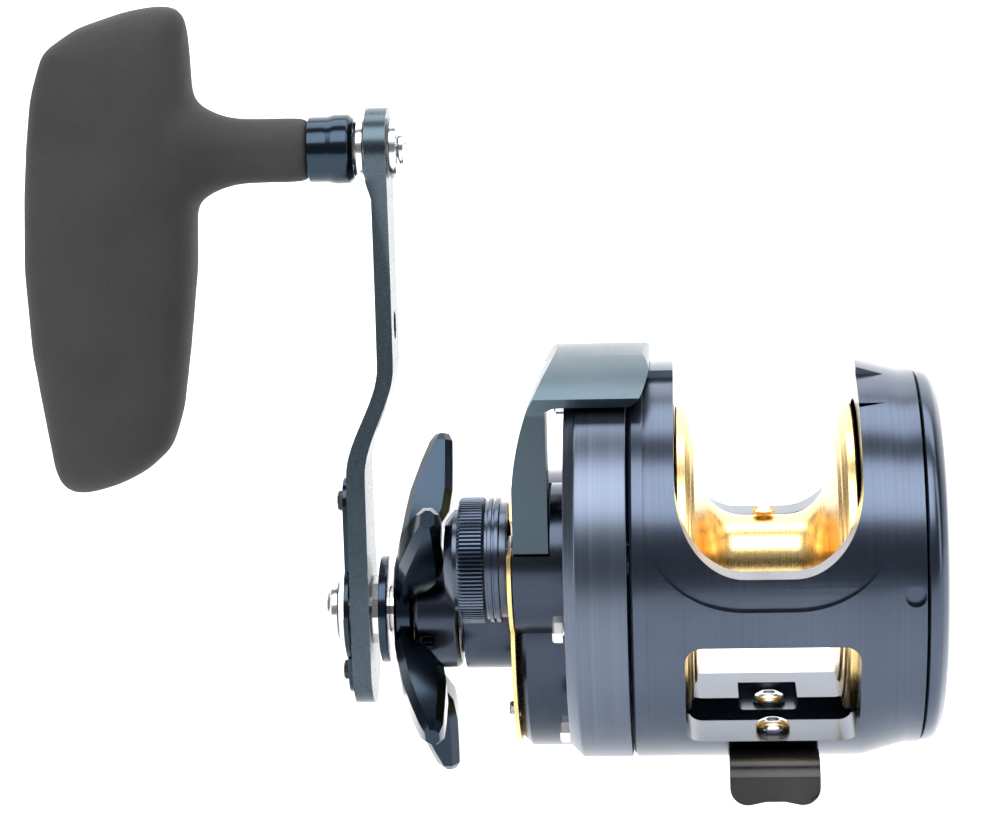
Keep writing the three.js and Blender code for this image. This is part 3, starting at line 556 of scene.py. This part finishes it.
def gearbox_pieces():
    left, right = -44.1, -34.9
    lobe = lathe_bm([
        (left, 0), (left, LOBE_R - 1.6), (left + 1.6, LOBE_R), (right, LOBE_R), (right, 0),
    ], DRIVE_AXIS, 160)
    boss = rod_bm(left, right, 13.4, SPOOL_AXIS, 96)
    room = rod_bm(-41.2, right + 1, 21.2, DRIVE_AXIS, 96)
    groove = lathe_bm([
        (left - 1, 7.6), (left - 1, 11.3), (-41.9, 11.3), (-41.9, 7.6),
    ], SPOOL_AXIS, 96)
    bore = rod_bm(left - 1, -40, 5.7, DRIVE_AXIS, 64)
    body = combined(lobe, ("UNION", boss), ("DIFFERENCE", room), ("DIFFERENCE", groove),
                    ("DIFFERENCE", bore), ("DIFFERENCE", wedge(left - 1, -37.6)))
    bevelled(to_object("gearbox_cover_fine", body, "navy_drive_shaded", "gearbox_cover"), 0.35)
    left, right = -45.1, -44.4
    plate = rod_bm(left, right, LOBE_R - 0.6, DRIVE_AXIS, 160)
    disc = rod_bm(left, right, 13.0, SPOOL_AXIS, 96)
    hole = rod_bm(left - 1, right + 1, 7.1, SPOOL_AXIS, 64)
    drive_hole = rod_bm(left - 1, right + 1, 5.7, DRIVE_AXIS, 64)
    body = combined(plate, ("UNION", disc), ("DIFFERENCE", hole), ("DIFFERENCE", drive_hole),
                    ("DIFFERENCE", wedge(left - 1, right + 1)))
    bevelled(to_object("trim_plate_fine", body, "gold", "trim_plate"), 0.15, 2)
    lathe("drive_collar_fine", [
        (-54.5, 5.8), (-54.5, 11.0), (-45.4, 11.0), (-45.4, 9.8), (-53.7, 9.8), (-53.7, 5.8),
    ], DRIVE_AXIS, "navy_drive_shaded", "drive_collar", 128, 0.35)


def tension_cap_piece():
    """Knurled cap: straight knurl on its wide band, grooves behind it, a chamfered nose."""
    nose, mouth = -56.4, -45.4
    teeth = 96
    per_tooth = 3
    valley = 0.964
    profile = soft_profile([
        (nose, 0), (nose, 6.9), (nose + 1.6, 9.0), (nose + 2.4, 9.0), (nose + 2.5, 10.6),
        (nose + 3.0, 11.1), (-49.6, 11.1), (-49.1, 10.5), (-48.6, 10.5), (-48.6, 11.0), (-47.9, 11.0),
        (-47.9, 10.4), (-47.5, 10.4), (-47.5, 11.0), (-46.7, 11.0), (-46.6, 10.2), (mouth, 10.2),
        (mouth, 7.1), (-52.4, 7.1), (-52.4, 0),
    ], 0.12, 2)
    bm = lathe_bm(profile, SPOOL_AXIS, teeth * per_tooth)
    for v in bm.verts:
        y, z = v.co.y - SPOOL_AXIS[0], v.co.z - SPOOL_AXIS[1]
        if nose + 2.8 < v.co.x < -49.5 and math.hypot(y, z) > 10:
            turn = round(math.atan2(z, y) / TAU * teeth * per_tooth) % per_tooth
            scale = valley if turn == 0 else 1.0
            v.co.y, v.co.z = SPOOL_AXIS[0] + y * scale, SPOOL_AXIS[1] + z * scale
    to_object("tension_cap_fine", bm, "navy", "tension_cap", 25)


# ---------- star wheel and barrel ----------
STAR_ARMS = 5
STAR_FIRST = 65.5      # direction of the first arm in degrees, from +Y towards +Z
BARREL_NOTCHES = 6
# Distance from the axis, width, and the two faces along X, hub to tip.
ARM_STATIONS = [
    (6.0, 8.4, -67.0, -63.7), (11.4, 8.6, -66.9, -63.7), (13.4, 9.0, -66.5, -60.2),
    (17.5, 9.4, -65.7, -57.6), (21.5, 9.2, -64.8, -57.0), (27.0, 8.0, -62.9, -57.0),
    (31.0, 6.4, -61.3, -57.1), (32.5, 3.6, -60.3, -57.8),
]


def star_arm_bm(turn):
    """One arm: chamfered sections from the hub to the tip, leaning towards the body."""
    bm = bmesh.new()
    rows = []
    for r, width, x0, x1 in ARM_STATIONS:
        half = width / 2
        cut = min(1.3, (x1 - x0) * 0.35)
        side = half * 0.45
        section = [(x0, half - side), (x0, side - half), (x0 + cut, -half), (x1 - cut, -half),
                   (x1, side - half), (x1, half - side), (x1 - cut, half), (x0 + cut, half)]
        rows.append([bm.verts.new((x, r, w)) for x, w in section])
    for a, b in zip(rows, rows[1:]):
        for i in range(8):
            j = (i + 1) % 8
            bm.faces.new((a[i], a[j], b[j], b[i]))
    bm.faces.new(rows[0])
    bm.faces.new(rows[-1])
    bmesh.ops.rotate(bm, verts=bm.verts, matrix=Matrix.Rotation(math.radians(turn), 3, "X"))
    bmesh.ops.translate(bm, verts=bm.verts, vec=(0, *DRIVE_AXIS))
    return bm


def star_pieces():
    hub = lathe_bm([
        (-67.1, 0), (-67.1, 9.2), (-66.5, 9.8), (-64.2, 9.8), (-63.6, 9.2), (-63.6, 0),
    ], DRIVE_AXIS, 96)
    bore = rod_bm(-69, -60, 4.1, DRIVE_AXIS, 48)
    arms = [("UNION", star_arm_bm(STAR_FIRST + i * 360 / STAR_ARMS)) for i in range(STAR_ARMS)]
    body = combined(hub, *arms, ("DIFFERENCE", bore))
    bevelled(to_object("star_wheel_fine", body, "gloss", "star_wheel"), 0.35, 3, 24)
    shell = lathe_bm([
        (-63.3, 4.1), (-63.3, 10.2), (-62.7, 10.8), (-56.0, 10.8), (-55.3, 10.2), (-55.3, 8.2),
        (-57.6, 8.2), (-57.6, 4.1),
    ], DRIVE_AXIS, 96)
    notches = []
    for i in range(BARREL_NOTCHES):
        cut = along_x([(9.3, -1.1), (12, -1.1), (12, 1.1), (9.3, 1.1)], -62.2, -59.9, (0, 0))
        turn = math.radians(i * 360 / BARREL_NOTCHES + 20)
        bmesh.ops.rotate(cut, verts=cut.verts, matrix=Matrix.Rotation(turn, 3, "X"))
        bmesh.ops.translate(cut, verts=cut.verts, vec=(0, *DRIVE_AXIS))
        notches.append(("DIFFERENCE", cut))
    bevelled(to_object("star_barrel_fine", combined(shell, *notches), "navy_drive_shaded", "star_barrel"), 0.25)
    lathe("click_plate_fine", [(-69.9, 4.1), (-69.9, 9.8), (-68.4, 9.8), (-68.4, 4.1)], DRIVE_AXIS, "gloss",
          "click_plate", 96, 0.3)


# ---------- crank ----------
def smooth_step(a, b, t):
    """Eases from a to b as t goes from 0 to 1."""
    return a + (b - a) * t * t * (3 - 2 * t)


def crank_pieces():
    y, z = DRIVE_AXIS
    hub, tip = (-75.0, -71.6), (-68.8, -65.9)
    bend = (26, 46)
    ramp = [k / 16 for k in range(17)]
    inner = [(smooth_step(hub[1], tip[1], t), bend[0] + (bend[1] - bend[0]) * t) for t in ramp]
    outer = [(smooth_step(hub[0], tip[0], t), bend[0] + (bend[1] - bend[0]) * t) for t in ramp]
    top = THROW + 7.4
    low = 17.4
    edge = [(hub[0], -low), (hub[1], -low)] + inner
    edge += [(tip[1], top), (tip[0] - 0.9, top), (tip[0] - 0.9, THROW - 5.5), (tip[0], THROW - 8.5)]
    edge += outer[::-1]
    face = (arc(0, 8.4 - low, 8.4, 8.4, 180, 360, 24) + [(8.2, 6), (7.0, 26), (5.6, 60)]
            + arc(0, THROW, 7.2, 7.2, -34, 214, 40) + [(-5.6, 60), (-7.0, 26), (-8.2, 6)])
    plate = along_x(face, -80, -60, DRIVE_AXIS)
    edge_body = along_y([(x, z + h) for x, h in edge], y - 10, y + 10)
    slots = [("DIFFERENCE", along_x(rounded_box(-1.8, 1.8, a, b, 1.7), -80, -60, DRIVE_AXIS))
             for a, b in ((33, 38), (50, 55))]
    bore = rod_bm(-80, -60, 4.1, DRIVE_AXIS, 48)
    knob = rod_bm(-80, -60, 3.2, KNOB_AXIS, 48)
    body = combined(edge_body, ("INTERSECT", plate), *slots, ("DIFFERENCE", bore), ("DIFFERENCE", knob))
    bevelled(to_object("handle_arm_fine", body, "arm", "handle_arm"), 0.7, 3)
    strap = along_x(rounded_box(-4.6, 4.6, -15.4, 24.6, 4.5), -76.2, -75.3, DRIVE_AXIS)
    eye = rod_bm(-76.2, -75.3, 9.4, DRIVE_AXIS, 64)
    opening = along_x(hexagon(7.7), -77, -75, DRIVE_AXIS)
    body = combined(strap, ("UNION", eye), ("DIFFERENCE", opening))
    bevelled(to_object("retainer_plate_fine", body, "gloss", "retainer_plate"), 0.2)
    nut = along_x(hexagon(7.3), -77.4, -75.3, DRIVE_AXIS)
    cone = lathe_bm([(-77.4, 0), (-77.4, 6.4), (-76.5, 7.4), (-75.3, 7.4), (-75.3, 0)], DRIVE_AXIS, 96)
    body = combined(nut, ("INTERSECT", cone))
    bevelled(to_object("handle_nut_fine", body, "steel", "handle_nut"), 0.12, 2)
    lathe("nut_cap_fine", [
        (-81.0, 0), (-80.8, 1.8), (-80.3, 3.2), (-79.6, 4.4), (-79.0, 4.9), (-78.9, 5.7), (-77.7, 5.7),
        (-77.7, 0),
    ], DRIVE_AXIS, "steel", "nut_cap", 96, 0.25)
    lathe("knob_washer_fine", [
        (-71.4, 3.2), (-71.4, 5.3), (-70.1, 5.3), (-70.1, 3.2),
    ], KNOB_AXIS, "steel", "knob_washer", 80)
    lathe("arm_washer_fine", [
        (-65.6, 2.0), (-65.6, 5.4), (-64.2, 5.4), (-64.2, 2.0),
    ], KNOB_AXIS, "steel", "arm_washer", 80)
    lathe("spindle_screw_fine", [
        (-65.6, 0), (-65.6, 1.7), (-63.9, 1.7), (-63.9, 3.3), (-63.1, 3.3), (-62.9, 2.6), (-62.9, 1.6),
        (-63.3, 1.4), (-63.3, 0),
    ], KNOB_AXIS, "steel", "spindle_screw", 64, 0.15)
    lathe("grip_ferrule_fine", [
        (-80.0, 4.8), (-80.0, 5.85), (-76.8, 5.85), (-75.4, 6.2), (-72.9, 6.2), (-71.9, 5.3),
        (-71.9, 4.8),
    ], KNOB_AXIS, "gloss", "grip_ferrule", 96, 0.3)


# ---------- grip ----------
# Height over the knob axis, left edge, right edge and half thickness of the T bar, top to bottom.
GRIP_STATIONS = [
    (26.2, -106.5, -103.5, 2.0), (25.3, -112.2, -101.8, 5.2), (22.6, -120.8, -101.0, 8.0),
    (18.5, -127.1, -100.8, 10.0), (10.7, -129.6, -100.7, 11.3), (2.4, -130.7, -100.6, 12.0),
    (-7.0, -131.6, -100.6, 12.2), (-20.0, -132.3, -101.0, 12.0), (-34.8, -131.8, -102.9, 11.0),
    (-46.6, -130.3, -104.7, 9.8), (-53.4, -129.4, -107.0, 8.6), (-57.3, -129.0, -111.2, 7.0),
    (-59.8, -128.2, -116.0, 5.2), (-61.4, -126.8, -121.0, 2.8), (-61.9, -125.4, -123.4, 1.2),
]


def squared(v):
    """Flattens a circle's sine or cosine a little towards a rounded square."""
    return math.copysign(abs(v) ** 0.82, v)


def grip_piece():
    """T grip: a skinned bar and a waisted stem, melted together and smoothed."""
    rings = 64
    bm = bmesh.new()
    rows = []
    for height, left, right, half in GRIP_STATIONS:
        row = []
        for k in range(rings):
            c, s = math.cos(k * TAU / rings), math.sin(k * TAU / rings)
            row.append(bm.verts.new(((left + right) / 2 + (right - left) / 2 * squared(c),
                                     KNOB_AXIS[0] + half * squared(s), KNOB_AXIS[1] + height)))
        rows.append(row)
    for a, b in zip(rows, rows[1:]):
        for k in range(rings):
            j = (k + 1) % rings
            bm.faces.new((a[k], a[j], b[j], b[k]))
    bm.faces.new(rows[0])
    bm.faces.new(rows[-1])
    stem = lathe_bm([
        (-112, 0), (-112, 4), (-103, 10.5), (-99.5, 8.6), (-96.5, 6.9), (-93.5, 6.1), (-90.5, 5.9),
        (-79.4, 5.9), (-79.4, 0),
    ], KNOB_AXIS, rings)
    obj = to_object("grip_fine", combined(bm, ("UNION", stem)), "foam", "grip", 180)
    melt = obj.modifiers.new("melt", "REMESH")
    melt.mode = "VOXEL"
    melt.voxel_size = 0.8 * MM
    melt.use_smooth_shade = True
    relax = obj.modifiers.new("relax", "SMOOTH")
    relax.factor = 0.6
    relax.iterations = 36


# ---------- foot and screws ----------
def foot_piece():
    z = SPOOL_AXIS[1]
    lip = z + 0.6
    side = [(-7.6, -29.3), (-7.6, 3.0 - lip)]
    side += arc(-4.6, 3.0 - lip, 3.0, 3.0, 180, 262, 8) + [(-4.3, -lip)]
    half = side + [(-1.6, -z)]
    outline = half + [(-x, h) for x, h in reversed(half)]
    bar = along_y([(x, z + h) for x, h in outline], -27, 27)
    ends = [(27, -lip), (27, -31.6), (26.2, -30.4), (24.4, -29.3)]
    taper = along_x(ends + [(-y, h) for y, h in reversed(ends)], -9, 9, SPOOL_AXIS)
    seat = rod_bm(-20, 20, BODY_R + 0.25, SPOOL_AXIS, ROUND_BODY)
    body = combined(bar, ("INTERSECT", taper), ("DIFFERENCE", seat))
    bevelled(to_object("reel_foot_fine", body, "black", "reel_foot"), 0.5, 3)


def foot_screws():
    """Domed heads with a hexagon recess, standing on the two bars."""
    for i in (1, 2):
        node = f"foot_screw_{i}"
        low, high = span(node)
        x, y, top = (low[0] + high[0]) / 2, (low[1] + high[1]) / 2, high[2]
        dome = [(-1.8, 0), (-1.8, 2.9), (-1.1, 2.9), (-0.4, 2.5), (0, 1.6), (0, 0)]
        profile = soft_profile(dome, 0.2)
        head = lathe_bm(profile, (0, 0), 64)
        bmesh.ops.rotate(head, verts=head.verts, matrix=Matrix.Rotation(-math.pi / 2, 3, "Y"))
        bmesh.ops.translate(head, verts=head.verts, vec=(x, y, top))
        socket = prism_bm(hexagon(1.3, (x, y)), (top - 0.9, top + 1), lambda a, b, d: (a, b, d))
        to_object(node + "_fine", combined(head, ("DIFFERENCE", socket)), "steel", node)


# ---------- run ----------
body_pieces()
spool_pieces()
lever_piece()
gearbox_pieces()
tension_cap_piece()
star_pieces()
crank_pieces()
grip_piece()
foot_piece()
foot_screws()
for node, obj in frame["nodes"].items():
    obj.data.materials.clear()
    obj.data.materials.append(MATERIALS[LOOK_OF_SLOT[SLOT_OF_NODE[node]]])
    obj.data.shade_smooth()
    obj.data.set_sharp_from_angle(angle=math.radians(SHARP))


# ---------- stage, lights, camera ----------
def stage():
    """A floor that curves up into the wall behind."""
    bm = bmesh.new()
    size, bend, depth = 900, 500, 900
    floor_z = -60
    profile = [(-size, floor_z), (depth - bend, floor_z)]
    profile += [(depth - bend + bend * math.sin(a), floor_z + bend * (1 - math.cos(a)))
                for a in [k * math.pi / 2 / 24 for k in range(1, 25)]]
    profile.append((depth, 1500))
    rows = [[bm.verts.new((x, y, z)) for y, z in profile] for x in (-2500, 2500)]
    for i in range(len(profile) - 1):
        bm.faces.new((rows[0][i], rows[1][i], rows[1][i + 1], rows[0][i + 1]))
    obj = to_object("studio_floor", bm, "floor", None)


def floor_material():
    g = Graph("pale_floor")
    cloud = g.noise(g.place(), 3, 2.0)
    colour = g.ramp(cloud, [(0.3, (0.90, 0.90, 0.90)), (0.7, (0.93, 0.93, 0.93))])
    g.link(colour, g.shader.inputs["Base Color"])
    g.shader.inputs["Roughness"].default_value = 0.7
    return g.material


def area_light(name, place, aim, size, power, spread=180):
    data = bpy.data.lights.new(name, "AREA")
    data.shape = "RECTANGLE"
    data.size, data.size_y = size
    data.energy = power
    data.spread = math.radians(spread)
    obj = bpy.data.objects.new(name, data)
    obj.location = place
    obj.rotation_euler = (Vector(aim) - Vector(place)).to_track_quat("-Z", "Y").to_euler()
    bpy.context.scene.collection.objects.link(obj)


def lights():
    centre = (-0.03, 0, 0.05)
    area_light("front_top_box", (0, -0.75, 1.0), centre, (1.6, 0.8), 21)
    area_light("left_strip", (-1.1, -0.5, 0.45), centre, (0.3, 1.1), 4)
    area_light("right_strip", (1.1, -0.35, 0.5), centre, (0.3, 1.1), 4)
    area_light("back_wash", (0, 0.35, 1.2), (0, 0.9, 0.2), (2.0, 0.8), 24)
    world = bpy.data.worlds.new("studio")
    bpy.context.scene.world = world
    world.use_nodes = True
    background = world.node_tree.nodes["Background"]
    background.inputs["Color"].default_value = (0.9, 0.93, 1.0, 1)
    background.inputs["Strength"].default_value = 0.22


# The camera looks along +Y, turned and lifted by these angles; the focal length is in picture columns.
AZIMUTH, ELEVATION, ROLL = math.radians(-3.85), math.radians(10.5), math.radians(-1.68)
DISTANCE, FOCAL_PX, FRAME_PX = 0.520, 2988.0, 989
AIM = (-0.0472, 0.0, 0.0627)


def camera():
    data = bpy.data.cameras.new("camera")
    data.sensor_width = 36
    data.lens = FOCAL_PX / FRAME_PX * 36
    data.clip_start = 0.01
    obj = bpy.data.objects.new("camera", data)
    look = Vector((math.sin(AZIMUTH) * math.cos(ELEVATION), math.cos(AZIMUTH) * math.cos(ELEVATION),
                   -math.sin(ELEVATION)))
    right = look.cross(Vector((0, 0, 1))).normalized()
    up = right.cross(look)
    turned_right = math.cos(ROLL) * right + math.sin(ROLL) * up
    turned_up = -math.sin(ROLL) * right + math.cos(ROLL) * up
    place = Vector(AIM) - look * DISTANCE
    obj.matrix_world = Matrix((
        (turned_right.x, turned_up.x, -look.x, place.x),
        (turned_right.y, turned_up.y, -look.y, place.y),
        (turned_right.z, turned_up.z, -look.z, place.z),
        (0, 0, 0, 1),
    ))
    bpy.context.scene.collection.objects.link(obj)
    bpy.context.scene.camera = obj


MATERIALS["floor"] = floor_material()
stage()
lights()
camera()
bpy.context.scene.view_settings.view_transform = "Standard"
